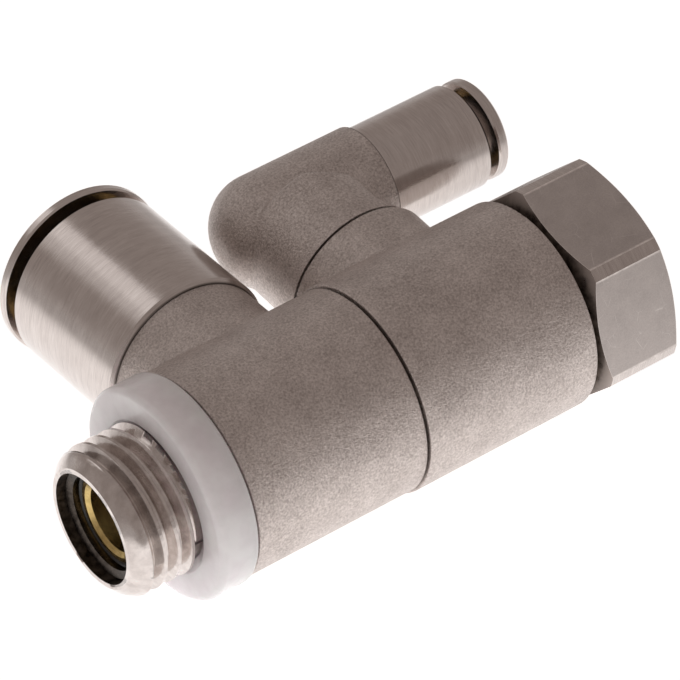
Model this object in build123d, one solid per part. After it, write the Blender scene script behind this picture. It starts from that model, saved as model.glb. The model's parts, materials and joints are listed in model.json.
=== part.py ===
from build123d import *
import math
import os

os.makedirs("parts", exist_ok=True)

# Frame: origin on the face of the tapped port, +X towards the hexagon, +Y out of the main tube port
# All sizes are in millimetres

# Banjo bodies, outside
lower_front_x = 3.81
lower_rear_x = 20.63
lower_r = 9.19
upper_front_x = 20.83
upper_rear_x = 38.14
upper_r = lower_r + 0.2
body_edge_round = 0.12

# Hollow screw, outside
thread_major_r = 6.579
thread_start_x = -4.65
thread_end_x = -6.15
thread_mouth_outer_r = 5.35
thread_nose_x = -5.45
thread_nose_r = 6.16
thread_nose_round = 1.2
neck_r = 5.75
shank_r = 7.0
shank_chamfer = 0.3
hex_flat_r = upper_r - 0.39
hex_corner_r = hex_flat_r + 1.1
hex_face_r = hex_flat_r - 0.7
hex_front_x = 38.48
hex_corner_front_x = 39.35
hex_corner_rear_x = 46.15
hex_rear_x = 46.95
hex_turn = 16.65

# Hollow screw, inside
mouth_bore_r = 4.9
blind_end_x = 32.3
drill_tip_length = 1.6
cross_hole_count = 4
main_cross_hole_r = 1.6
pilot_cross_hole_r = 1.1
feed_groove_r = 6.25
main_feed_width = 4.6
pilot_feed_width = 3.6

# Banjo seals in the screw
running_gap = 0.03
seal_gap = 0.02
banjo_seal_section_r = 0.49
banjo_groove_width = 1.3
banjo_seal_x = (6.7, 17.5, 23.7, 34.7)

# Sealing washer
washer_front_x = 0.0
washer_rear_x = 3.68
washer_r = lower_r + 0.26
washer_bore_r = 5.9
washer_mouth_r = 6.8
washer_mouth_depth = 0.6
washer_front_round = 0.6
washer_rear_round = 0.45

# Banjo bodies, inside
banjo_bore_r = shank_r + running_gap
banjo_bore_chamfer = 0.35

# Main tube port on the lower banjo, measured along +Y from the screw axis
main_x = 11.95
main_neck_r = 7.45
main_neck_end = 11.86
main_neck_fillet = 0.5
main_barrel_r = 7.83
main_barrel_end = 26.3
main_barrel_front_chamfer = 0.35
main_barrel_end_chamfer = 0.3
main_flow_r = 4.0
main_tube_stop = 9.7
main_socket_r = 5.06
main_seal_seat = 14.2
main_counterbore_r = 6.95
main_seal_section_r = 0.94
main_seal_centre_r = 5.96
main_retainer_front = 16.4
main_retainer_end = 24.5
main_retainer_wide_r = 6.45
main_retainer_cone_start = 19.7
main_retainer_cone_end = 20.9
main_retainer_narrow_r = 5.85
main_collet_inner_end = 17.5
main_collet_head_r = 6.3
main_collet_head_start = 17.9
main_collet_head_end = 19.3
main_collet_cone_end = 20.5
main_collet_sleeve_r = 5.7
main_collet_bore_r = 5.2
main_tooth_r = 4.97
main_flange_start = 27.35
main_flange_end = 28.2
main_flange_r = main_barrel_r + 0.1
main_slit_end = 23.9
main_slit_width = 0.7

# Pilot port: boss on the upper banjo, measured from the screw axis
boss_x = 29.0
boss_turn = 5.1
boss_r = 6.95
boss_top = 10.95
boss_edge_round = 0.15
boss_fillet = 0.4
swivel_gap = 0.2
spigot_r = 3.0
spigot_bore_r = spigot_r + 0.05
clip_depth = 0.8
clip_h = boss_top - clip_depth
clip_wire_r = 0.3
clip_open_angle = 40.0
clip_groove_width = 0.8
spigot_seal_spacing = 1.45
spigot_seal_h = clip_h - spigot_seal_spacing
spigot_seal_section_r = 0.44
spigot_groove_width = 1.2
spigot_end_land = 1.0
spigot_end = spigot_seal_h - spigot_end_land

# Elbow casting: leg along the boss axis, cross tube along +X
leg_r = 6.9
leg_top = 18.3
leg_slant_top_e = -0.6
leg_slant_low_h = 16.05
leg_cut_e = 2.8
leg_flare_h = 12.3
leg_flare_e = 3.9
leg_slant_round = 1.5
leg_cut_round = 1.0
leg_flare_round = 1.2
leg_edge_round = 0.5
cross_h = 20.12
cross_r = 5.12
cross_closed_end = -7.7
cross_open_end = 7.4
cross_end_round = 4.6
cross_fillet = 0.8
pilot_flow_r = 1.3

# Pilot tube port, measured along +X from the boss axis
pilot_barrel_r = 4.765
pilot_barrel_end = 17.6
pilot_barrel_chamfer = 0.25
pilot_tube_stop = 8.6
pilot_socket_r = 2.05
pilot_seal_seat = 10.7
pilot_counterbore_r = 3.75
pilot_seal_section_r = 0.74
pilot_seal_centre_r = 2.76
pilot_retainer_front = 12.3
pilot_retainer_end = 16.3
pilot_retainer_wide_r = 3.35
pilot_retainer_cone_start = 13.9
pilot_retainer_cone_end = 14.5
pilot_retainer_narrow_r = 3.0
pilot_collet_inner_end = 12.75
pilot_collet_head_r = 3.22
pilot_collet_head_start = 12.95
pilot_collet_head_end = 13.6
pilot_collet_cone_end = 14.2
pilot_collet_sleeve_r = 2.88
pilot_collet_bore_r = 2.2
pilot_tooth_r = 1.99
pilot_flange_start = 18.5
pilot_flange_end = 19.5
pilot_flange_r = pilot_barrel_r - 0.165
pilot_slit_end = 15.8
pilot_slit_width = 0.5

# Parts in the thread mouth
ring_front_outer_x = -5.26
ring_front_inner_x = -5.0
ring_rear_x = -4.45
ring_front_r = 4.8
ring_inner_r = 4.2
mouth_seal_section_r = 0.5
housing_front_x = -4.4
housing_nose_r = 3.9
housing_nose_chamfer = 0.15
housing_mouth_r = 3.0
housing_mouth_chamfer_r = 3.4
housing_mouth_chamfer_x = -4.1
housing_flange_x = -3.45
housing_shoulder_x = -2.7
poppet_chamber_r = 3.9
housing_rear_x = 6.8

# Valve seat, guide for the piston rod
seat_lip_x = 6.38
seat_bore_r = 2.5
seat_lip_r = 2.85
seat_throat_x = 8.2
seat_cage_r = 3.3
seat_cage_x = 9.0
guide_front_x = 15.4
guide_rear_x = 18.4
guide_bore_r = 1.3
window_r = 1.5
window_groove_r = 4.3
window_groove_width = 3.9
guide_seal_x = 16.7
guide_seal_section_r = 0.47

# Check poppet
poppet_rear_x = 2.2
poppet_head_x = 5.9
poppet_guide_r = poppet_chamber_r - 0.05
poppet_flat = 3.2
poppet_nose_r = 1.4
poppet_nose_x = 7.6
poppet_seal_inner_r = 2.1
poppet_seal_outer_r = 3.3
poppet_seal_floor_x = 5.4
poppet_seal_face_x = 6.3

# Pilot piston
rod_r = guide_bore_r - 0.05
rod_tip_x = 7.7
piston_front_x = 22.4
piston_rear_x = 26.4
piston_r = mouth_bore_r - 0.05
piston_groove_x = 24.4
piston_groove_width = 1.2
piston_seal_section_r = 0.45
piston_boss_r = 2.0
piston_boss_x = 32.1

# Springs
poppet_spring_wire_r = 0.28
poppet_spring_coil_r = 3.25
poppet_spring_turns = 4
piston_spring_wire_r = 0.3
piston_spring_coil_r = 3.9
piston_spring_turns = 3.5

# Directions and places shared by the parts
turn = math.radians(boss_turn)
boss_direction = Vector(0, math.cos(turn), math.sin(turn))
main_place = Plane(origin=(main_x, 0, 0), x_dir=(0, 1, 0), z_dir=(1, 0, 0)).location
boss_place = Plane(origin=(boss_x, 0, 0), x_dir=boss_direction, z_dir=(1, 0, 0)).location
cross_origin = Vector(boss_x, 0, 0) + boss_direction * cross_h
cross_place = Plane(origin=cross_origin, x_dir=(1, 0, 0), z_dir=boss_direction).location


def turned(points, rounds=None):
    """Solid turned about X from (x, radius) points; rounds gives a radius for a point number."""
    face = make_face(Polyline(*points, close=True))
    for number, radius in (rounds or {}).items():
        x, r = points[number]
        corner = face.vertices().sort_by_distance((x, r, 0))[0]
        face = fillet(corner, radius)
    return revolve(face, Axis.X, 360)


def tube(x_start, x_end, inner, outer):
    """Plain round tube or bar about X."""
    return turned([(x_start, inner), (x_end, inner), (x_end, outer), (x_start, outer)])


def seal_ring(x, centre_r, section_r, arc=360):
    """Round-section ring about X."""
    section = Pos(x, centre_r) * Circle(section_r)
    return revolve(section, Axis.X, arc)


def radial_holes(x, radius, reach, count, first=0.0):
    """Drills that cross the X axis, spread evenly round it."""
    drills = None
    for number in range(count):
        angle = first + number * 360 / count
        drill = Rot(angle, 0, 0) * Pos(x, 0, 0) * Rot(-90, 0, 0) * Cylinder(
            radius, reach, align=(Align.CENTER, Align.CENTER, Align.MIN))
        drills = drill if drills is None else drills + drill
    return drills


def coil_spring(x_start, x_end, coil_r, wire_r, turns):
    """Round-wire coil about X, its ends inside the two faces it rests on."""
    length = x_end - x_start - 2 * wire_r
    path = Helix(length / turns, length, coil_r)
    section = Plane(origin=path @ 0, z_dir=path % 0) * Circle(wire_r)
    coil = sweep(section, path=path)
    return Pos(x_start + wire_r, 0, 0) * Rot(0, 90, 0) * coil


def slits(x_start, x_end, reach, width, count):
    """Saw cuts from the axis outwards, one per finger gap."""
    cuts = None
    for number in range(count):
        blade = Rot(number * 360 / count, 0, 0) * Pos(x_start, 0, 0) * Box(
            x_end - x_start, reach, width, align=(Align.MIN, Align.MIN, Align.CENTER))
        cuts = blade if cuts is None else cuts + blade
    return cuts


def saddle_edges(shape):
    """Edges where one round body runs into another."""
    return [edge for edge in shape.edges() if edge.geom_type not in (GeomType.LINE, GeomType.CIRCLE)]


def rim_edges(shape, radius, lowest):
    """Edges on the round of that radius about X, above a height."""
    found = []
    for edge in shape.edges():
        points = [edge @ place for place in (0.0, 0.3, 0.7, 1.0)]
        on_round = all(abs(math.hypot(point.Y, point.Z) - radius) < 0.02 for point in points)
        if on_round and (edge @ 0.5).X > lowest:
            found.append(edge)
    return found


def save(name, shape):
    """Write one separate piece."""
    shape.label = name
    export_step(shape, "parts/" + name + ".step")


# Hollow screw
screw = turned([
    (thread_end_x, 0), (thread_end_x, thread_mouth_outer_r), (thread_nose_x, thread_nose_r),
    (thread_start_x, thread_major_r), (washer_front_x, thread_major_r), (washer_front_x, neck_r),
    (washer_rear_x, neck_r), (washer_rear_x, shank_r - shank_chamfer),
    (washer_rear_x + shank_chamfer, shank_r), (hex_front_x, shank_r), (hex_front_x, 0)],
    {2: thread_nose_round})
hexagon = RegularPolygon(hex_flat_r, 6, major_radius=False, rotation=30)
hex_prism = extrude(hexagon, hex_rear_x - hex_front_x)
hex_prism = Pos(hex_front_x, 0, 0) * Rot(hex_turn, 0, 0) * Rot(0, 90, 0) * hex_prism
hex_turning = turned([
    (hex_front_x, 0), (hex_front_x, hex_face_r), (hex_corner_front_x, hex_corner_r),
    (hex_corner_rear_x, hex_corner_r), (hex_rear_x, hex_face_r), (hex_rear_x, 0)])
screw += hex_prism & hex_turning
screw -= turned([
    (thread_end_x, 0), (thread_end_x, mouth_bore_r), (blind_end_x, mouth_bore_r),
    (blind_end_x + drill_tip_length, 0)])
screw -= tube(main_x - main_feed_width / 2, main_x + main_feed_width / 2, feed_groove_r, shank_r + 1)
screw -= tube(boss_x - pilot_feed_width / 2, boss_x + pilot_feed_width / 2, feed_groove_r, shank_r + 1)
screw -= radial_holes(main_x, main_cross_hole_r, shank_r + 1, cross_hole_count)
screw -= radial_holes(boss_x, pilot_cross_hole_r, shank_r + 1, cross_hole_count)
banjo_seal_centre_r = banjo_bore_r - seal_gap - banjo_seal_section_r
banjo_groove_r = banjo_seal_centre_r - banjo_seal_section_r
for x in banjo_seal_x:
    screw -= tube(x - banjo_groove_width / 2, x + banjo_groove_width / 2, banjo_groove_r, shank_r + 1)
save("hollow_screw", screw)

# Seals between the screw and the two banjos
seal_names = ("lower_front_seal", "lower_rear_seal", "upper_front_seal", "upper_rear_seal")
for name, x in zip(seal_names, banjo_seal_x):
    save(name, seal_ring(x, banjo_seal_centre_r, banjo_seal_section_r))

# Sealing washer
washer = turned(
    [(washer_front_x, washer_mouth_r), (washer_front_x + washer_mouth_depth, washer_bore_r),
     (washer_rear_x, washer_bore_r), (washer_rear_x, washer_r), (washer_front_x, washer_r)],
    {3: washer_rear_round, 4: washer_front_round})
save("sealing_washer", washer)


def banjo_blank(front_x, rear_x, radius):
    """Round banjo body with rounded rims."""
    return turned(
        [(front_x, 0), (rear_x, 0), (rear_x, radius), (front_x, radius)],
        {2: body_edge_round, 3: body_edge_round})


def banjo_bore(front_x, rear_x):
    """Through bore with a lead-in at both ends."""
    wide_r = banjo_bore_r + banjo_bore_chamfer
    return turned([
        (front_x - 1, 0), (front_x - 1, wide_r), (front_x, wide_r),
        (front_x + banjo_bore_chamfer, banjo_bore_r), (rear_x - banjo_bore_chamfer, banjo_bore_r),
        (rear_x, wide_r), (rear_x + 1, wide_r), (rear_x + 1, 0)])


# Lower banjo with the turned barrel of the main tube port
lower = banjo_blank(lower_front_x, lower_rear_x, lower_r)
lower += main_place * turned([(0, 0), (0, main_neck_r), (main_neck_end, main_neck_r), (main_neck_end, 0)])
lower = fillet(saddle_edges(lower), main_neck_fillet)
lower += main_place * turned([
    (main_neck_end - 1, 0), (main_neck_end - 1, main_neck_r), (main_neck_end, main_neck_r),
    (main_neck_end, main_barrel_r - main_barrel_front_chamfer),
    (main_neck_end + main_barrel_front_chamfer, main_barrel_r),
    (main_barrel_end - main_barrel_end_chamfer, main_barrel_r),
    (main_barrel_end, main_barrel_r - main_barrel_end_chamfer), (main_barrel_end, 0)])
lower -= banjo_bore(lower_front_x, lower_rear_x)
lower -= main_place * turned([
    (0, 0), (0, main_flow_r), (main_tube_stop, main_flow_r), (main_tube_stop, main_socket_r),
    (main_seal_seat, main_socket_r), (main_seal_seat, main_counterbore_r),
    (main_barrel_end, main_counterbore_r), (main_barrel_end, 0)])
save("lower_banjo", lower)


def push_in_retainer(front, end, outer, wide, cone_start, cone_end, narrow):
    """Sleeve pressed into a barrel, its inner cone closes the collet fingers."""
    return turned([
        (front, wide), (cone_start, wide), (cone_end, narrow), (end, narrow),
        (end, outer), (front, outer)])


def push_in_collet(inner_end, head_start, head_end, cone_end, head_r, sleeve_r, bore_r, tooth_r,
                   flange_start, flange_end, flange_r, slit_end, slit_width):
    """Slit collet with biting teeth inside, its outer flange is the release collar."""
    tooth_length = (head_end - inner_end) / 3
    flange_edge = 0.15
    collet = turned([
        (inner_end, tooth_r + 0.1), (inner_end + tooth_length, tooth_r),
        (inner_end + tooth_length, bore_r), (flange_end - 0.4, bore_r), (flange_end, bore_r + 0.3),
        (flange_end, flange_r - flange_edge), (flange_end - flange_edge, flange_r),
        (flange_start + flange_edge, flange_r), (flange_start, flange_r - flange_edge),
        (flange_start, sleeve_r), (cone_end, sleeve_r), (head_end, head_r),
        (head_start, head_r), (inner_end, sleeve_r)])
    return collet - slits(inner_end - 1, slit_end, head_r + 1, slit_width, 6)


# Push-in parts of the main tube port
save("main_tube_seal", main_place * seal_ring(
    main_seal_seat + main_seal_section_r, main_seal_centre_r, main_seal_section_r))
save("main_retainer", main_place * push_in_retainer(
    main_retainer_front, main_retainer_end, main_counterbore_r, main_retainer_wide_r,
    main_retainer_cone_start, main_retainer_cone_end, main_retainer_narrow_r))
save("main_collet", main_place * push_in_collet(
    main_collet_inner_end, main_collet_head_start, main_collet_head_end, main_collet_cone_end,
    main_collet_head_r, main_collet_sleeve_r, main_collet_bore_r, main_tooth_r,
    main_flange_start, main_flange_end, main_flange_r, main_slit_end, main_slit_width))

# Upper banjo with the boss of the pilot port
upper = banjo_blank(upper_front_x, upper_rear_x, upper_r)
upper += boss_place * turned(
    [(0, 0), (0, boss_r), (boss_top, boss_r), (boss_top, 0)], {2: boss_edge_round})
upper = fillet(saddle_edges(upper), boss_fillet)
upper -= banjo_bore(upper_front_x, upper_rear_x)
upper -= boss_place * turned([
    (0, 0), (0, spigot_bore_r), (boss_top - 0.25, spigot_bore_r),
    (boss_top, spigot_bore_r + 0.25), (boss_top + 1, 0)])
upper -= boss_place * seal_ring(clip_h, spigot_bore_r, clip_wire_r)
save("upper_banjo", upper)
save("swivel_clip", boss_place * seal_ring(clip_h, spigot_bore_r, clip_wire_r, 360 - clip_open_angle))

# Elbow casting: the leg is the round of the boss cut to its side outline, blended into the cross tube
leg_foot = boss_top + swivel_gap
outline_points = [
    (leg_foot, -leg_r - 1), (leg_top, -leg_r - 1), (leg_top, leg_slant_top_e), (leg_slant_low_h, leg_cut_e),
    (leg_flare_h, leg_cut_e), (leg_foot, leg_flare_e)]
outline = make_face(Polyline(*outline_points, close=True))
for number, radius in ((2, leg_slant_round), (3, leg_cut_round), (4, leg_flare_round)):
    h, e = outline_points[number]
    outline = fillet(outline.vertices().sort_by_distance((h, e, 0))[0], radius)
leg = Pos(0, 0, -leg_r - 1) * extrude(outline, 2 * leg_r + 2)
leg = Rot(90, 0, 0) * leg
leg &= tube(leg_foot, leg_top, 0, leg_r)
leg = boss_place * fillet(rim_edges(leg, leg_r, leg_flare_h + 0.4), leg_edge_round)
cross = cross_place * turned([
    (cross_closed_end, 0), (cross_closed_end, cross_r), (cross_open_end, cross_r),
    (cross_open_end, pilot_barrel_r), (pilot_barrel_end - pilot_barrel_chamfer, pilot_barrel_r),
    (pilot_barrel_end, pilot_barrel_r - pilot_barrel_chamfer), (pilot_barrel_end, 0)],
    {1: cross_end_round})
elbow = leg + cross
elbow = fillet(new_edges(leg, cross, combined=elbow), cross_fillet)
spigot_groove_r = spigot_bore_r - seal_gap - 2 * spigot_seal_section_r
clip_groove_r = spigot_bore_r - clip_wire_r - 0.05
spigot = turned([
    (spigot_end, 0), (spigot_end, spigot_r - 0.3), (spigot_end + 0.3, spigot_r),
    (leg_foot + 1, spigot_r), (leg_foot + 1, 0)])
spigot -= tube(
    spigot_seal_h - spigot_groove_width / 2, spigot_seal_h + spigot_groove_width / 2,
    spigot_groove_r, spigot_r + 1)
spigot -= tube(clip_h - clip_groove_width / 2, clip_h + clip_groove_width / 2, clip_groove_r, spigot_r + 1)
elbow += boss_place * spigot
elbow -= boss_place * tube(spigot_end - 1, cross_h, 0, pilot_flow_r)
elbow -= cross_place * turned([
    (0, 0), (0, pilot_flow_r), (pilot_tube_stop, pilot_flow_r), (pilot_tube_stop, pilot_socket_r),
    (pilot_seal_seat, pilot_socket_r), (pilot_seal_seat, pilot_counterbore_r),
    (pilot_barrel_end, pilot_counterbore_r), (pilot_barrel_end, 0)])
save("pilot_elbow", elbow)
save("swivel_seal", boss_place * seal_ring(
    spigot_seal_h, spigot_bore_r - seal_gap - spigot_seal_section_r, spigot_seal_section_r))

# Push-in parts of the pilot tube port
save("pilot_tube_seal", cross_place * seal_ring(
    pilot_seal_seat + pilot_seal_section_r, pilot_seal_centre_r, pilot_seal_section_r))
save("pilot_retainer", cross_place * push_in_retainer(
    pilot_retainer_front, pilot_retainer_end, pilot_counterbore_r, pilot_retainer_wide_r,
    pilot_retainer_cone_start, pilot_retainer_cone_end, pilot_retainer_narrow_r))
save("pilot_collet", cross_place * push_in_collet(
    pilot_collet_inner_end, pilot_collet_head_start, pilot_collet_head_end, pilot_collet_cone_end,
    pilot_collet_head_r, pilot_collet_sleeve_r, pilot_collet_bore_r, pilot_tooth_r,
    pilot_flange_start, pilot_flange_end, pilot_flange_r, pilot_slit_end, pilot_slit_width))

# Parts seen in the thread mouth
save("mouth_ring", turned([
    (ring_front_inner_x, ring_inner_r), (ring_front_outer_x, ring_front_r),
    (ring_front_outer_x + 0.1, mouth_bore_r), (ring_rear_x, mouth_bore_r), (ring_rear_x, ring_inner_r)]))
save("mouth_seal", seal_ring(
    ring_rear_x + mouth_seal_section_r, mouth_bore_r - mouth_seal_section_r, mouth_seal_section_r))
save("poppet_housing", turned([
    (housing_mouth_chamfer_x, housing_mouth_r), (housing_front_x, housing_mouth_chamfer_r),
    (housing_front_x, housing_nose_r - housing_nose_chamfer),
    (housing_front_x + housing_nose_chamfer, housing_nose_r), (housing_flange_x, housing_nose_r),
    (housing_flange_x, mouth_bore_r), (housing_rear_x, mouth_bore_r),
    (housing_rear_x, poppet_chamber_r), (housing_shoulder_x, poppet_chamber_r),
    (housing_shoulder_x, housing_mouth_r)]))

# Valve seat with the guide of the piston rod
seat = turned([
    (seat_lip_x, seat_bore_r), (seat_throat_x, seat_bore_r), (seat_cage_x, seat_cage_r),
    (guide_front_x, seat_cage_r), (guide_front_x, guide_bore_r), (guide_rear_x, guide_bore_r),
    (guide_rear_x, mouth_bore_r), (housing_rear_x, mouth_bore_r), (housing_rear_x, seat_lip_r),
    (seat_lip_x, seat_lip_r)])
seat -= tube(main_x - window_groove_width / 2, main_x + window_groove_width / 2, window_groove_r, mouth_bore_r)
seat -= radial_holes(main_x, window_r, mouth_bore_r + 1, cross_hole_count, 45)
guide_groove_r = mouth_bore_r - 2 * guide_seal_section_r
seat -= tube(guide_seal_x - 0.6, guide_seal_x + 0.6, guide_groove_r, mouth_bore_r)
save("valve_seat", seat)
save("guide_seal", seal_ring(guide_seal_x, mouth_bore_r - guide_seal_section_r, guide_seal_section_r))

# Check poppet, fluted so that air passes along its guide
poppet = turned([
    (poppet_rear_x, 0), (poppet_rear_x, poppet_guide_r), (poppet_head_x, poppet_guide_r),
    (poppet_head_x, poppet_nose_r), (poppet_nose_x, poppet_nose_r), (poppet_nose_x, 0)])
poppet -= tube(poppet_seal_floor_x, poppet_head_x, poppet_seal_inner_r, poppet_seal_outer_r)
for number in range(4):
    poppet -= Rot(number * 90, 0, 0) * Pos(poppet_rear_x, poppet_flat, 0) * Box(
        poppet_seal_floor_x - poppet_rear_x - 0.6, 2, 2 * poppet_guide_r,
        align=(Align.MIN, Align.MIN, Align.CENTER))
save("check_poppet", poppet)
save("poppet_seal", tube(
    poppet_seal_floor_x, poppet_seal_face_x, poppet_seal_inner_r, poppet_seal_outer_r))

# Pilot piston with its rod
piston = turned([
    (rod_tip_x, 0), (rod_tip_x, rod_r), (piston_front_x, rod_r), (piston_front_x, piston_r),
    (piston_rear_x, piston_r), (piston_rear_x, piston_boss_r), (piston_boss_x, piston_boss_r),
    (piston_boss_x, 0)])
piston_seal_centre_r = mouth_bore_r - seal_gap - piston_seal_section_r
piston -= tube(
    piston_groove_x - piston_groove_width / 2, piston_groove_x + piston_groove_width / 2,
    piston_seal_centre_r - piston_seal_section_r, piston_r + 1)
save("pilot_piston", piston)
save("piston_seal", seal_ring(piston_groove_x, piston_seal_centre_r, piston_seal_section_r))

# Springs
save("poppet_spring", coil_spring(
    housing_shoulder_x, poppet_rear_x, poppet_spring_coil_r, poppet_spring_wire_r, poppet_spring_turns))
save("piston_spring", coil_spring(
    guide_rear_x, piston_front_x, piston_spring_coil_r, piston_spring_wire_r, piston_spring_turns))
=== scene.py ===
import json
import math
import bpy
from mathutils import Matrix, Vector


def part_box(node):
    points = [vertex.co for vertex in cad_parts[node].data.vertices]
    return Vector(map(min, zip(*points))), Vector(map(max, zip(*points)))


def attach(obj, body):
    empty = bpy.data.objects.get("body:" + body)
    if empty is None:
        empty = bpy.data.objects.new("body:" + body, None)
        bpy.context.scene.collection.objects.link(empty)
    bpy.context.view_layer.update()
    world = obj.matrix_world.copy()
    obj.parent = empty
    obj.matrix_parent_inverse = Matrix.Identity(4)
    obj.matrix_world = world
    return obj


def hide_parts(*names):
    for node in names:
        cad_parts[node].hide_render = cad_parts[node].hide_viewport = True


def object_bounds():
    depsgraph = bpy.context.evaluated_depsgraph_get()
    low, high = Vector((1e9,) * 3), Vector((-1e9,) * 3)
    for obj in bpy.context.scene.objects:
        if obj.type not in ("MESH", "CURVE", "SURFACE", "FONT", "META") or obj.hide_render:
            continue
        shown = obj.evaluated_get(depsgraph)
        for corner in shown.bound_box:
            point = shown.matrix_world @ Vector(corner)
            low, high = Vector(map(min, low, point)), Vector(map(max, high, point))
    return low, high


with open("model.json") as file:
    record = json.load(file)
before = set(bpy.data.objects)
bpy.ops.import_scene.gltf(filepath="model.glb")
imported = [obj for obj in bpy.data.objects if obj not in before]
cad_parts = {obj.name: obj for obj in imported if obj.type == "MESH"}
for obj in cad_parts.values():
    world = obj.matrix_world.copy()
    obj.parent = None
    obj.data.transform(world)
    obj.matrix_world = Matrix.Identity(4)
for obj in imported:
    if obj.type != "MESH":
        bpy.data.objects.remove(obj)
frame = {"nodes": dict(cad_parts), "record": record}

MM = 0.001
cad_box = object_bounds()
nodes = frame["nodes"]

# Sizes of the screw that the thread and the hexagon are made from
screw_low, screw_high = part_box("hollow_screw")
thread_front_x = screw_low[0]
hex_rear_x = screw_high[0]
thread_pitch = 1.337 * MM
thread_crest_r = 6.579 * MM
thread_root_r = 5.76 * MM
thread_root_flat = 0.22 * MM
thread_flank = math.radians(27.5)
thread_cut_overshoot = 0.2 * MM
sliver = 0.006 * MM
crest_depth = 0.05 * MM
thread_cut_start_x = -5.0 * MM
thread_cut_start_turn = math.radians(-135)
thread_turns = 4
shank_r = 7.0 * MM
stub_reach = 0.6 * MM
hex_front_x = 38.48 * MM
hex_corner_front_x = 39.35 * MM
hex_corner_rear_x = 46.15 * MM
hex_flat_r = 9.0 * MM
hex_corner_r = 10.1 * MM
hex_face_r = 8.3 * MM
hex_turn = math.radians(16.65)
hex_edge = 0.10 * MM
mouth_rim_r = 5.0 * MM
mouth_lip = 0.25 * MM

# Order of the materials on the screw; the third and the fourth are painted shade, in the gap in front of the hexagon
# and on the wall inside the mouth
HEX_FLAT, HEX_TURNED, PAINTED_SHADE, MOUTH_WALL = 1, 2, 3, 4


# Camera and studio
def add_camera():
    """Camera at the viewing angle of the picture, solved from the outlines of the valve."""
    right = Vector((0.79955, -0.59932, -0.03915))
    up = Vector((0.40682, 0.49248, 0.76939))
    forward = Vector((0.44183, 0.63110, -0.63758))
    data = bpy.data.cameras.new("camera")
    data.sensor_width = 36.0
    data.lens = 271.4
    data.clip_start = 0.01
    data.clip_end = 50.0
    camera = bpy.data.objects.new("camera", data)
    turn = Matrix((right, up, -forward)).transposed().to_4x4()
    camera.matrix_world = Matrix.Translation((-0.16439, -0.26186, 0.27086)) @ turn
    bpy.context.scene.collection.objects.link(camera)
    bpy.context.scene.camera = camera


def add_lamp(name, place, aim, size, radiance):
    """Soft box that points at the valve, its power worked out from its brightness."""
    data = bpy.data.lights.new(name, "AREA")
    data.shape = "RECTANGLE"
    data.size, data.size_y = size
    data.energy = radiance * math.pi * size[0] * size[1]
    lamp = bpy.data.objects.new(name, data)
    lamp.location = place
    lamp.rotation_mode = "QUATERNION"
    lamp.rotation_quaternion = (Vector(aim) - Vector(place)).to_track_quat("-Z", "Y")
    bpy.context.scene.collection.objects.link(lamp)
    return lamp


def add_world():
    """Tent: white below, warm grey walls and ceiling, white where the camera looks past it."""
    world = bpy.data.worlds.new("studio")
    bpy.context.scene.world = world
    world.use_nodes = True
    tree = world.node_tree
    tree.nodes.clear()
    out = tree.nodes.new("ShaderNodeOutputWorld")
    back = tree.nodes.new("ShaderNodeBackground")
    ramp = tree.nodes.new("ShaderNodeValToRGB")
    split = tree.nodes.new("ShaderNodeSeparateXYZ")
    place = tree.nodes.new("ShaderNodeTexCoord")
    height = tree.nodes.new("ShaderNodeMapRange")
    height.inputs["From Min"].default_value = -1.0
    ray = tree.nodes.new("ShaderNodeLightPath")
    pick = tree.nodes.new("ShaderNodeMix")
    pick.data_type = "RGBA"
    pick.inputs["B"].default_value = (1, 1, 1, 1)
    stops = ramp.color_ramp.elements
    stops[0].position, stops[0].color = 0.40, (0.95, 0.93, 0.91, 1)
    stops[1].position, stops[1].color = 0.95, (0.33, 0.288, 0.270, 1)
    for position, tone in ((0.50, (0.50, 0.46, 0.44, 1)), (0.60, (0.36, 0.318, 0.299, 1)),
                           (0.75, (0.33, 0.286, 0.266, 1))):
        stops.new(position).color = tone
    tree.links.new(place.outputs["Generated"], split.inputs[0])
    tree.links.new(split.outputs["Z"], height.inputs["Value"])
    tree.links.new(height.outputs[0], ramp.inputs[0])
    tree.links.new(ray.outputs["Is Camera Ray"], pick.inputs["Factor"])
    tree.links.new(ramp.outputs[0], pick.inputs["A"])
    tree.links.new(pick.outputs["Result"], back.inputs[0])
    tree.links.new(back.outputs[0], out.inputs[0])


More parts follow.
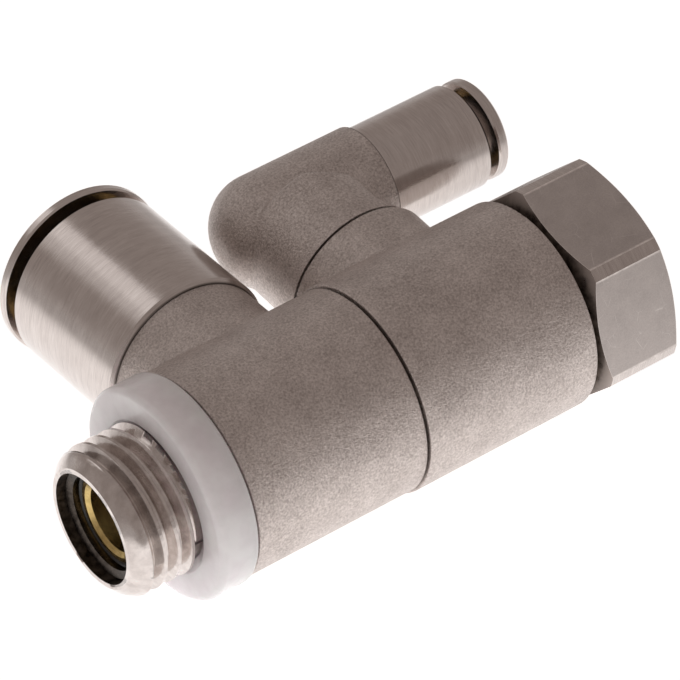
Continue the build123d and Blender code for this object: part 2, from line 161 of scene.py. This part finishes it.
def add_floor():
    """Pale plain table that keeps a faint shadow and is white in the reflections near the valve."""
    floor_z = cad_box[0].z - 0.02 * MM
    bpy.ops.mesh.primitive_plane_add(size=20, location=(0, 0, floor_z))
    floor = bpy.context.object
    floor.name = "floor"
    paint = bpy.data.materials.new("white_table")
    paint.use_nodes = True
    tree = paint.node_tree
    tree.nodes.clear()
    out = tree.nodes.new("ShaderNodeOutputMaterial")
    chalk = tree.nodes.new("ShaderNodeBsdfDiffuse")
    chalk.inputs["Color"].default_value = (0.8, 0.8, 0.8, 1)
    glow = tree.nodes.new("ShaderNodeEmission")
    ray = tree.nodes.new("ShaderNodeLightPath")
    place = tree.nodes.new("ShaderNodeTexCoord")
    distance = tree.nodes.new("ShaderNodeVectorMath")
    distance.operation = "LENGTH"
    fade = tree.nodes.new("ShaderNodeMapRange")
    fade.interpolation_type = "SMOOTHSTEP"
    fade.inputs["From Min"].default_value = 0.035
    fade.inputs["From Max"].default_value = 0.10
    fade.inputs["To Min"].default_value = 0.95
    fade.inputs["To Max"].default_value = 0.20
    mirrored = tree.nodes.new("ShaderNodeMath")
    mirrored.operation = "MAXIMUM"
    dimmed = tree.nodes.new("ShaderNodeMath")
    dimmed.operation = "MULTIPLY"
    direct = tree.nodes.new("ShaderNodeMath")
    direct.operation = "MULTIPLY"
    direct.inputs[1].default_value = 0.80
    both = tree.nodes.new("ShaderNodeMath")
    both.operation = "MAXIMUM"
    add = tree.nodes.new("ShaderNodeAddShader")
    tree.links.new(place.outputs["Object"], distance.inputs[0])
    tree.links.new(distance.outputs["Value"], fade.inputs["Value"])
    tree.links.new(ray.outputs["Is Glossy Ray"], mirrored.inputs[0])
    tree.links.new(ray.outputs["Is Transmission Ray"], mirrored.inputs[1])
    tree.links.new(mirrored.outputs[0], dimmed.inputs[0])
    tree.links.new(fade.outputs[0], dimmed.inputs[1])
    tree.links.new(ray.outputs["Is Camera Ray"], direct.inputs[0])
    tree.links.new(direct.outputs[0], both.inputs[0])
    tree.links.new(dimmed.outputs[0], both.inputs[1])
    tree.links.new(both.outputs[0], glow.inputs["Strength"])
    tree.links.new(chalk.outputs[0], add.inputs[0])
    tree.links.new(glow.outputs[0], add.inputs[1])
    tree.links.new(add.outputs[0], out.inputs[0])
    floor.data.materials.append(paint)


def add_lamps():
    """A strip and a dimmer panel over the back that draw the bands on the barrels, and a lit table."""
    centre = (0.018, 0.012, 0)
    add_lamp("strip", (-0.074, 0.42, 0.48), centre, (0.18, 0.35), 0.58)
    add_lamp("side_panel", (-0.215, 0.42, 0.43), centre, (0.10, 0.35), 0.38)
    table = add_lamp("table_light", (0.02, 0, cad_box[0].z - 0.01 * MM), (0.02, 0, 1), (0.5, 0.5), 0.75)
    table.visible_camera = False
    table.visible_glossy = False
    table.visible_transmission = False


# Shader parts
def new_finish(name, color, metallic, roughness):
    """Principled shader with its own name."""
    paint = bpy.data.materials.new(name)
    paint.use_nodes = True
    shader = paint.node_tree.nodes["Principled BSDF"]
    shader.inputs["Base Color"].default_value = (*color, 1)
    shader.inputs["Metallic"].default_value = metallic
    shader.inputs["Roughness"].default_value = roughness
    return paint


def object_place(tree, stretch=(1, 1, 1)):
    """Object coordinates, squeezed along each axis by a factor."""
    place = tree.nodes.new("ShaderNodeTexCoord")
    mapping = tree.nodes.new("ShaderNodeMapping")
    mapping.inputs["Scale"].default_value = stretch
    tree.links.new(place.outputs["Object"], mapping.inputs["Vector"])
    return mapping.outputs[0]


def noise(tree, place, size_mm, detail=2.0, roughness=0.5):
    """Noise whose features are about size_mm wide."""
    node = tree.nodes.new("ShaderNodeTexNoise")
    node.inputs["Scale"].default_value = 1 / (size_mm * MM)
    node.inputs["Detail"].default_value = detail
    node.inputs["Roughness"].default_value = roughness
    tree.links.new(place, node.inputs["Vector"])
    return node.outputs["Fac"]


def remap(tree, value, low, high, to_low, to_high):
    """Value between low and high moved to between to_low and to_high."""
    node = tree.nodes.new("ShaderNodeMapRange")
    for name, number in (("From Min", low), ("From Max", high), ("To Min", to_low), ("To Max", to_high)):
        node.inputs[name].default_value = number
    tree.links.new(value, node.inputs["Value"])
    return node.outputs[0]


def remap_freely(tree, value, low, high, to_low, to_high):
    """The same straight line, carried on past both its ends."""
    socket = remap(tree, value, low, high, to_low, to_high)
    socket.node.clamp = False
    return socket


def calculate(tree, operation, first, second):
    """One sum on values that may be sockets or numbers."""
    node = tree.nodes.new("ShaderNodeMath")
    node.operation = operation
    for number, value in enumerate((first, second)):
        if isinstance(value, (int, float)):
            node.inputs[number].default_value = value
        else:
            tree.links.new(value, node.inputs[number])
    return node.outputs[0]


def blend_colors(tree, factor, first, second):
    """Color between two, which may be sockets or colors."""
    node = tree.nodes.new("ShaderNodeMix")
    node.data_type = "RGBA"
    tree.links.new(factor, node.inputs["Factor"])
    for name, value in (("A", first), ("B", second)):
        if isinstance(value, tuple):
            node.inputs[name].default_value = (*value, 1)
        else:
            tree.links.new(value, node.inputs[name])
    return node.outputs["Result"]


def blend_values(tree, factor, first, second):
    """Value between two sockets."""
    node = tree.nodes.new("ShaderNodeMix")
    tree.links.new(factor, node.inputs["Factor"])
    tree.links.new(first, node.inputs["A"])
    tree.links.new(second, node.inputs["B"])
    return node.outputs["Result"]


def raise_bump(tree, height, depth_mm, normal=None, strength=1.0):
    """Bump of a 0 to 1 height that is depth_mm deep."""
    node = tree.nodes.new("ShaderNodeBump")
    node.inputs["Strength"].default_value = strength
    node.inputs["Distance"].default_value = depth_mm * MM
    tree.links.new(height, node.inputs["Height"])
    if normal is not None:
        tree.links.new(normal, node.inputs["Normal"])
    return node.outputs[0]


def finish_with(paint, color=None, roughness=None, normal=None):
    """Links what was worked out to the shader."""
    tree = paint.node_tree
    shader = tree.nodes["Principled BSDF"]
    for name, socket in (("Base Color", color), ("Roughness", roughness), ("Normal", normal)):
        if socket is not None:
            tree.links.new(socket, shader.inputs[name])
    return paint


def place_along(tree, axis):
    """Object coordinate along one axis."""
    place = tree.nodes.new("ShaderNodeTexCoord")
    split = tree.nodes.new("ShaderNodeSeparateXYZ")
    tree.links.new(place.outputs["Object"], split.inputs[0])
    return split.outputs[axis]


def zone_beyond(tree, axis, start, soft=0.02 * MM):
    """0 before a place along an axis and 1 beyond it."""
    return remap(tree, place_along(tree, axis), start - soft, start + soft, 0, 1)


def near_seam(tree, axis, seam, reach=0.14 * MM):
    """1 on a line round the part and 0 a little way off it."""
    away = calculate(tree, "ABSOLUTE", calculate(tree, "SUBTRACT", place_along(tree, axis), seam), 0)
    return remap(tree, away, 0.3 * reach, reach, 1, 0)


# Finishes of the valve
CAST_DARK = (0.40, 0.348, 0.325)
CAST_LIGHT = (0.76, 0.69, 0.655)
TURNED_DARK = (0.52, 0.465, 0.44)
TURNED_LIGHT = (0.68, 0.625, 0.595)


def cast_surface(tree):
    """Sand-blasted skin under nickel: color, roughness and height of its grain."""
    grain = noise(tree, object_place(tree), 0.19, 3.0, 0.65)
    pits = noise(tree, object_place(tree), 0.075, 1.0, 0.5)
    clouds = noise(tree, object_place(tree), 2.6, 3.0, 0.55)
    height = calculate(tree, "ADD", grain, calculate(tree, "MULTIPLY", pits, 0.5))
    speckle = calculate(tree, "ADD", calculate(tree, "MULTIPLY", grain, 0.75), calculate(tree, "MULTIPLY", clouds, 0.25))
    color = blend_colors(tree, remap(tree, speckle, 0.34, 0.66, 0, 1), CAST_DARK, CAST_LIGHT)
    roughness = remap(tree, grain, 0.3, 0.7, 0.52, 0.34)
    return color, roughness, height


def turned_surface(tree, axis, reach=1.6):
    """Fine tool marks round an axis: color, roughness and height."""
    squeeze = [1 / 22, 1 / 22, 1 / 22]
    squeeze[axis] = 1.0
    marks = noise(tree, object_place(tree, tuple(squeeze)), 0.07, 2.0, 0.6)
    bands = noise(tree, object_place(tree, tuple(squeeze)), 0.6, 2.0, 0.5)
    stains = noise(tree, object_place(tree), reach, 3.0, 0.6)
    tone = calculate(tree, "ADD", calculate(tree, "MULTIPLY", marks, 0.55), calculate(tree, "MULTIPLY", bands, 0.25))
    tone = calculate(tree, "ADD", tone, calculate(tree, "MULTIPLY", stains, 0.2))
    color = blend_colors(tree, remap(tree, tone, 0.36, 0.64, 0, 1), TURNED_DARK, TURNED_LIGHT)
    roughness = remap(tree, stains, 0.3, 0.7, 0.16, 0.24)
    return color, roughness, marks


def cast_nickel(name, turned_axis=None, turned_from=None):
    """Nickel plated casting; past a place along an axis its port is turned."""
    paint = new_finish(name, CAST_LIGHT, 1.0, 0.55)
    tree = paint.node_tree
    color, roughness, height = cast_surface(tree)
    normal = raise_bump(tree, height, 0.08)
    if turned_axis is not None:
        zone = zone_beyond(tree, turned_axis, turned_from)
        turned_color, turned_roughness, marks = turned_surface(tree, turned_axis)
        color = blend_colors(tree, zone, color, turned_color)
        # Painted shade: a dark line along the step where the cast skin meets the turned port.
        seam_shade = calculate(tree, "MULTIPLY", near_seam(tree, turned_axis, turned_from), 0.8)
        color = blend_colors(tree, seam_shade, color, (0.07, 0.055, 0.045))
        roughness = blend_values(tree, zone, roughness, turned_roughness)
        fine = calculate(tree, "MULTIPLY", marks, 0.06)
        height = blend_values(tree, zone, height, fine)
        normal = raise_bump(tree, height, 0.08)
    return finish_with(paint, color, roughness, normal)


def turned_nickel(name, axis, depth_mm=0.004):
    """Nickel over turned brass."""
    paint = new_finish(name, TURNED_LIGHT, 1.0, 0.28)
    tree = paint.node_tree
    color, roughness, marks = turned_surface(tree, axis)
    return finish_with(paint, color, roughness, raise_bump(tree, marks, depth_mm))


def radius_round_screw(tree):
    """Distance from the axis of the screw."""
    radial = tree.nodes.new("ShaderNodeVectorMath")
    radial.operation = "LENGTH"
    tree.links.new(object_place(tree, (0, 1, 1)), radial.inputs[0])
    return radial.outputs["Value"]


def flat_rim(tree):
    """1 along the edges of the flats, where the turned corners and chamfers meet them, and 0 inside."""
    x = place_along(tree, 0)
    front = remap_freely(tree, x, hex_front_x, hex_corner_front_x, hex_face_r, hex_corner_r)
    rear = remap_freely(tree, x, hex_rear_x, hex_corner_rear_x, hex_face_r, hex_corner_r)
    turned_r = calculate(tree, "MINIMUM", calculate(tree, "MINIMUM", front, rear), hex_corner_r)
    inside = calculate(tree, "SUBTRACT", turned_r, radius_round_screw(tree))
    return remap(tree, inside, 0.4 * hex_edge, hex_edge, 1, 0)


def drawn_nickel(name):
    """Nickel over the drawn flats of bar stock: fine skin, lengthwise and stray scratches."""
    paint = new_finish(name, TURNED_LIGHT, 1.0, 0.4)
    tree = paint.node_tree
    skin = noise(tree, object_place(tree), 0.12, 2.0, 0.6)
    lines = noise(tree, object_place(tree, (1 / 30, 1, 1)), 0.06, 2.0, 0.5)
    stray_place = object_place(tree)
    stray = tree.nodes.new("ShaderNodeTexVoronoi")
    stray.feature = "DISTANCE_TO_EDGE"
    stray.inputs["Scale"].default_value = 1 / (1.9 * MM)
    tree.links.new(stray_place, stray.inputs["Vector"])
    scratch = remap(tree, stray.outputs["Distance"], 0.0, 0.012, 1.0, 0.0)
    patch = remap(tree, noise(tree, stray_place, 1.6, 2.0, 0.5), 0.52, 0.60, 0, 1)
    scratch = calculate(tree, "MULTIPLY", scratch, patch)
    stains = noise(tree, object_place(tree), 2.2, 3.0, 0.6)
    tone = calculate(tree, "ADD", calculate(tree, "MULTIPLY", skin, 0.5), calculate(tree, "MULTIPLY", stains, 0.5))
    color = blend_colors(tree, remap(tree, tone, 0.36, 0.64, 0, 1), (0.50, 0.455, 0.435), (0.62, 0.57, 0.545))
    color = blend_colors(tree, calculate(tree, "MULTIPLY", scratch, 0.6), color, (0.82, 0.77, 0.74))
    # Painted highlight: a bright line along the edges of the flats, its strength varied by noise.
    edge_highlight = remap(tree, noise(tree, object_place(tree), 0.9, 3.0, 0.6), 0.35, 0.65, 0.4, 1.0)
    color = blend_colors(tree, calculate(tree, "MULTIPLY", flat_rim(tree), edge_highlight), color, (1.0, 0.94, 0.90))
    height = calculate(tree, "ADD", calculate(tree, "MULTIPLY", skin, 0.6), calculate(tree, "MULTIPLY", lines, 0.4))
    height = calculate(tree, "SUBTRACT", height, calculate(tree, "MULTIPLY", scratch, 0.5))
    roughness = remap(tree, stains, 0.3, 0.7, 0.36, 0.48)
    return finish_with(paint, color, roughness, raise_bump(tree, height, 0.012))


def thread_nickel(name):
    """Bright nickel on the rolled thread, with small nicks."""
    paint = new_finish(name, TURNED_LIGHT, 1.0, 0.25)
    tree = paint.node_tree
    nicks = noise(tree, object_place(tree), 0.3, 2.0, 0.6)
    stains = noise(tree, object_place(tree), 1.4, 3.0, 0.6)
    color = blend_colors(tree, remap(tree, stains, 0.3, 0.7, 0, 1), (0.50, 0.445, 0.42), (0.72, 0.665, 0.635))
    roughness = remap(tree, nicks, 0.3, 0.7, 0.12, 0.24)
    return finish_with(paint, color, roughness, raise_bump(tree, nicks, 0.005))


def painted_shade_nickel(name, shade_fade_from=None, shade_fade_to=None):
    """Painted shade for gaps and hollows: dark mottled nickel; along the screw the painted shade may fade out to
    bare nickel.
    """
    paint = new_finish(name, (0.10, 0.08, 0.07), 0.8, 0.4)
    tree = paint.node_tree
    mottle = noise(tree, object_place(tree), 0.7, 3.0, 0.6)
    color = blend_colors(tree, remap(tree, mottle, 0.35, 0.65, 0, 1), (0.035, 0.026, 0.020), (0.15, 0.12, 0.10))
    if shade_fade_from is not None:
        out_of_shade = remap(tree, place_along(tree, 0), shade_fade_from, shade_fade_to, 0, 1)
        color = blend_colors(tree, out_of_shade, color, (0.36, 0.31, 0.285))
    roughness = remap(tree, mottle, 0.3, 0.7, 0.25, 0.5)
    return finish_with(paint, color, roughness, raise_bump(tree, mottle, 0.006))


def mouth_ring_nickel():
    """Bright rim of the ring that holds the mouth seal, with painted shade on the inside towards the seal."""
    paint = new_finish("mouth_ring_nickel", TURNED_LIGHT, 1.0, 0.2)
    tree = paint.node_tree
    mottle = noise(tree, object_place(tree), 0.5, 3.0, 0.6)
    rim = remap(tree, radius_round_screw(tree), mouth_rim_r - 0.05 * MM, mouth_rim_r + 0.05 * MM, 0, 1)
    recess_shade = blend_colors(tree, remap(tree, mottle, 0.35, 0.65, 0, 1), (0.030, 0.024, 0.020), (0.09, 0.075, 0.065))
    color = blend_colors(tree, rim, recess_shade, TURNED_LIGHT)
    roughness = remap(tree, mottle, 0.3, 0.7, 0.16, 0.3)
    return finish_with(paint, color, roughness, raise_bump(tree, mottle, 0.004))


def white_nylon():
    """Milky nylon, a little see-through, with a faint moulded skin."""
    paint = new_finish("white_nylon", (0.86, 0.84, 0.86), 0.0, 0.2)
    tree = paint.node_tree
    shader = tree.nodes["Principled BSDF"]
    shader.inputs["Subsurface Weight"].default_value = 0.9
    shader.inputs["Subsurface Radius"].default_value = (1.0, 0.9, 0.95)
    shader.inputs["Subsurface Scale"].default_value = 3.2 * MM
    shader.inputs["IOR"].default_value = 1.53
    clouds = noise(tree, object_place(tree), 2.4, 3.0, 0.5)
    skin = noise(tree, object_place(tree), 0.35, 2.0, 0.5)
    color = blend_colors(tree, remap(tree, clouds, 0.35, 0.65, 0, 1), (0.84, 0.80, 0.825), (0.94, 0.905, 0.93))
    roughness = remap(tree, skin, 0.3, 0.7, 0.15, 0.26)
    return finish_with(paint, color, roughness, raise_bump(tree, skin, 0.006))


def black_rubber():
    """Nitrile rubber with a greasy sheen."""
    paint = new_finish("black_rubber", (0.012, 0.011, 0.010), 0.0, 0.35)
    tree = paint.node_tree
    skin = noise(tree, object_place(tree), 0.25, 2.0, 0.5)
    color = blend_colors(tree, remap(tree, skin, 0.35, 0.65, 0, 1), (0.010, 0.009, 0.008), (0.024, 0.022, 0.020))
    roughness = remap(tree, skin, 0.3, 0.7, 0.25, 0.45)
    return finish_with(paint, color, roughness, raise_bump(tree, skin, 0.006))


def turned_brass():
    """Bare turned brass with tool marks round the screw."""
    paint = new_finish("turned_brass", (0.62, 0.44, 0.16), 1.0, 0.2)
    tree = paint.node_tree
    marks = noise(tree, object_place(tree, (1, 1 / 16, 1 / 16)), 0.06, 2.0, 0.5)
    stains = noise(tree, object_place(tree), 1.3, 3.0, 0.6)
    color = blend_colors(tree, remap(tree, stains, 0.35, 0.65, 0, 1), (0.40, 0.29, 0.11), (0.66, 0.49, 0.21))
    roughness = remap(tree, stains, 0.3, 0.7, 0.16, 0.28)
    return finish_with(paint, color, roughness, raise_bump(tree, marks, 0.004))


def spring_steel():
    """Drawn and ground steel."""
    paint = new_finish("spring_steel", (0.52, 0.52, 0.53), 1.0, 0.25)
    tree = paint.node_tree
    marks = noise(tree, object_place(tree, (1, 1 / 12, 1 / 12)), 0.05, 2.0, 0.5)
    color = blend_colors(tree, remap(tree, marks, 0.35, 0.65, 0, 1), (0.44, 0.44, 0.45), (0.60, 0.60, 0.61))
    return finish_with(paint, color, None, raise_bump(tree, marks, 0.003))


# Modelling helpers
def deselect():
    """Nothing selected and no mode open."""
    if bpy.context.object is not None and bpy.context.object.mode != "OBJECT":
        bpy.ops.object.mode_set(mode="OBJECT")
    bpy.ops.object.select_all(action="DESELECT")


def make_active(piece):
    """Only this piece selected."""
    deselect()
    piece.select_set(True)
    bpy.context.view_layer.objects.active = piece


def settle(piece):
    """Place, turn and size go into the mesh."""
    make_active(piece)
    bpy.ops.object.transform_apply(location=True, rotation=True, scale=True)


def apply_modifier(piece, kind, **settings):
    """One modifier, set and applied."""
    make_active(piece)
    modifier = piece.modifiers.new(kind.lower(), kind)
    for name, value in settings.items():
        setattr(modifier, name, value)
    bpy.ops.object.modifier_apply(modifier=modifier.name)


def combine(piece, other, operation):
    """Boolean of two closed pieces; the second is used up."""
    apply_modifier(piece, "BOOLEAN", object=other, operation=operation, solver="EXACT")
    bpy.data.objects.remove(other, do_unlink=True)


def copy_of_node(name, piece_name):
    """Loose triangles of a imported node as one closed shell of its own."""
    piece = bpy.data.objects.new(piece_name, nodes[name].data.copy())
    bpy.context.scene.collection.objects.link(piece)
    piece.data.materials.clear()
    make_active(piece)
    bpy.ops.object.mode_set(mode="EDIT")
    bpy.ops.mesh.select_all(action="SELECT")
    bpy.ops.mesh.remove_doubles(threshold=0.0005 * MM)
    bpy.ops.object.mode_set(mode="OBJECT")
    return piece


def cut_beyond(piece, x):
    """Takes away what lies past a plane across the screw and closes the cut."""
    make_active(piece)
    bpy.ops.object.mode_set(mode="EDIT")
    bpy.ops.mesh.select_all(action="SELECT")
    bpy.ops.mesh.bisect(plane_co=(x, 0, 0), plane_no=(1, 0, 0), use_fill=True, clear_outer=True)
    bpy.ops.object.mode_set(mode="OBJECT")


# Threaded screw
def lathe_cylinder(radius, start_x, end_x, sides):
    """Closed cylinder along the screw."""
    bpy.ops.mesh.primitive_cylinder_add(
        vertices=sides, radius=radius, depth=end_x - start_x,
        location=((start_x + end_x) / 2, 0, 0), rotation=(0, math.pi / 2, 0))
    cylinder = bpy.context.object
    settle(cylinder)
    return cylinder


def thread_groove():
    """V groove with a flat root, wound round the screw."""
    depth = thread_crest_r - thread_root_r + thread_cut_overshoot
    top_width = thread_root_flat + 2 * depth * math.tan(thread_flank)
    bpy.ops.mesh.primitive_plane_add(
        size=1, location=(thread_cut_start_x, 0, thread_root_r + depth / 2), rotation=(math.pi / 2, 0, 0))
    groove = bpy.context.object
    groove.scale = (top_width, depth, 1)
    settle(groove)
    bpy.ops.object.mode_set(mode="EDIT")
    bpy.ops.mesh.select_all(action="DESELECT")
    bpy.ops.object.mode_set(mode="OBJECT")
    for vertex in groove.data.vertices:
        vertex.select = vertex.co.z < thread_root_r + depth / 2
    bpy.ops.object.mode_set(mode="EDIT")
    bpy.ops.transform.resize(value=(thread_root_flat / top_width, 1, 1), center_override=(thread_cut_start_x, 0, 0))
    bpy.ops.mesh.select_all(action="SELECT")
    bpy.ops.mesh.delete(type="ONLY_FACE")
    bpy.ops.object.mode_set(mode="OBJECT")
    apply_modifier(groove, "SCREW", axis="X", angle=2 * math.pi, screw_offset=thread_pitch,
                   iterations=thread_turns, steps=96, render_steps=96)
    bpy.ops.object.mode_set(mode="EDIT")
    bpy.ops.mesh.select_all(action="SELECT")
    bpy.ops.mesh.remove_doubles(threshold=0.0005 * MM)
    bpy.ops.mesh.select_all(action="SELECT")
    bpy.ops.mesh.fill_holes(sides=6)
    bpy.ops.mesh.select_all(action="SELECT")
    bpy.ops.mesh.normals_make_consistent(inside=False)
    bpy.ops.object.mode_set(mode="OBJECT")
    groove.rotation_euler = (thread_cut_start_turn, 0, 0)
    settle(groove)
    return groove


def hexagon_head(screw_paints):
    """Six flats turned down at the corners and chamfered at both ends."""
    length = hex_rear_x - hex_front_x
    middle = (hex_front_x + hex_rear_x) / 2
    bpy.ops.mesh.primitive_cylinder_add(
        vertices=6, radius=hex_flat_r / math.cos(math.pi / 6), depth=length,
        location=(middle, 0, 0), rotation=(0, math.pi / 2, 0))
    head = bpy.context.object
    settle(head)
    corner = max(head.data.vertices, key=lambda vertex: vertex.co.z)
    now = math.atan2(corner.co.z, corner.co.y)
    head.rotation_euler = (hex_turn - now, 0, 0)
    settle(head)
    turned_blank = lathe_cylinder(hex_corner_r, hex_front_x, hex_rear_x, 180)
    for x, corner_x in ((hex_front_x, hex_corner_front_x), (hex_rear_x, hex_corner_rear_x)):
        make_active(turned_blank)
        bpy.ops.object.mode_set(mode="EDIT")
        bpy.ops.mesh.select_mode(type="FACE")
        bpy.ops.mesh.select_all(action="DESELECT")
        bpy.ops.object.mode_set(mode="OBJECT")
        for face in turned_blank.data.polygons:
            face.select = abs(face.center.x - x) < 0.01 * MM and len(face.vertices) > 4
        bpy.ops.object.mode_set(mode="EDIT")
        bpy.ops.transform.translate(value=(corner_x - x, 0, 0))
        bpy.ops.mesh.extrude_region_move(TRANSFORM_OT_translate={"value": (x - corner_x, 0, 0)})
        share = hex_face_r / hex_corner_r
        bpy.ops.transform.resize(value=(1, share, share), center_override=(x, 0, 0))
        bpy.ops.object.mode_set(mode="OBJECT")
    combine(head, turned_blank, "INTERSECT")
    for paint in screw_paints:
        head.data.materials.append(paint)
    for face in head.data.polygons:
        flat = abs(face.normal.x) < 0.2 and face.normal.dot(face.center) < hex_flat_r + 0.02 * MM
        # Faces turned to the front, towards the banjo, get the painted shade of the gap.
        gap = face.normal.x < -0.3
        face.material_index = HEX_FLAT if flat else PAINTED_SHADE if gap else HEX_TURNED
    return head


def threaded_screw():
    """The hollow screw with its real thread and a hexagon with turned corners and chamfered ends."""
    piece = copy_of_node("hollow_screw", "threaded_screw")
    cut_beyond(piece, hex_front_x - 0.3 * MM)
    combine(piece, thread_groove(), "DIFFERENCE")
    make_active(piece)
    bpy.ops.object.mode_set(mode="EDIT")
    bpy.ops.mesh.select_all(action="SELECT")
    bpy.ops.mesh.dissolve_degenerate(threshold=sliver)
    bpy.ops.object.mode_set(mode="OBJECT")
    # The last two finishes are painted shade: dark in the gap in front of the hexagon, fading towards its corners,
    # and dark on the wall inside the mouth.
    screw_paints = (
        thread_nickel("thread_nickel"), drawn_nickel("hexagon_nickel"), turned_nickel("hexagon_turning", 0),
        painted_shade_nickel("hexagon_gap", hex_front_x + 0.2 * MM, hex_corner_front_x),
        painted_shade_nickel("mouth_wall"))
    head = hexagon_head(screw_paints)
    combine(head, lathe_cylinder(shank_r, hex_front_x - stub_reach, hex_front_x + stub_reach, 96), "UNION")
    for paint in screw_paints:
        piece.data.materials.append(paint)
    # Faces of the bore wall inside the mouth get the painted shade.
    for face in piece.data.polygons:
        radial = Vector((0, face.center.y, face.center.z))
        if face.normal.dot(radial) < 0 and face.center.x > thread_front_x + mouth_lip:
            face.material_index = MOUTH_WALL
    for shell, angle in ((head, 8), (piece, 25)):
        make_active(shell)
        bpy.ops.object.shade_smooth_by_angle(angle=math.radians(angle))
    for face in piece.data.polygons:
        radius = math.hypot(face.center.y, face.center.z)
        if face.center.x < 0 and radius > thread_crest_r - crest_depth:
            face.use_smooth = False
    for shell in (head, piece):
        apply_modifier(shell, "WEIGHTED_NORMAL", keep_sharp=True)
    make_active(head)
    piece.select_set(True)
    bpy.context.view_layer.objects.active = piece
    bpy.ops.object.join()
    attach(piece, "screw")
    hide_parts("hollow_screw")


deselect()
add_camera()
add_world()
add_floor()
add_lamps()
bpy.context.scene.view_settings.view_transform = "Standard"

threaded_screw()

brass = turned_brass()
rubber = black_rubber()
steel = spring_steel()
finishes = {
    "plated_brass": turned_nickel("turned_nickel", 0), "plated_brass_cast": cast_nickel("cast_nickel"),
    "white_nylon": white_nylon(), "black_rubber": rubber, "brass": brass, "steel": steel}
own_finishes = {
    "lower_banjo": cast_nickel("lower_banjo_nickel", 1, 11.86 * MM),
    "pilot_elbow": cast_nickel("elbow_nickel", 0, 36.42 * MM),
    "main_collet": turned_nickel("main_collar_nickel", 1),
    "mouth_ring": mouth_ring_nickel()}
for part in frame["record"]["subparts"]:
    piece = nodes[part["node"]]
    piece.data.materials.clear()
    piece.data.materials.append(own_finishes.get(part["node"], finishes[part["material_slot"]]))
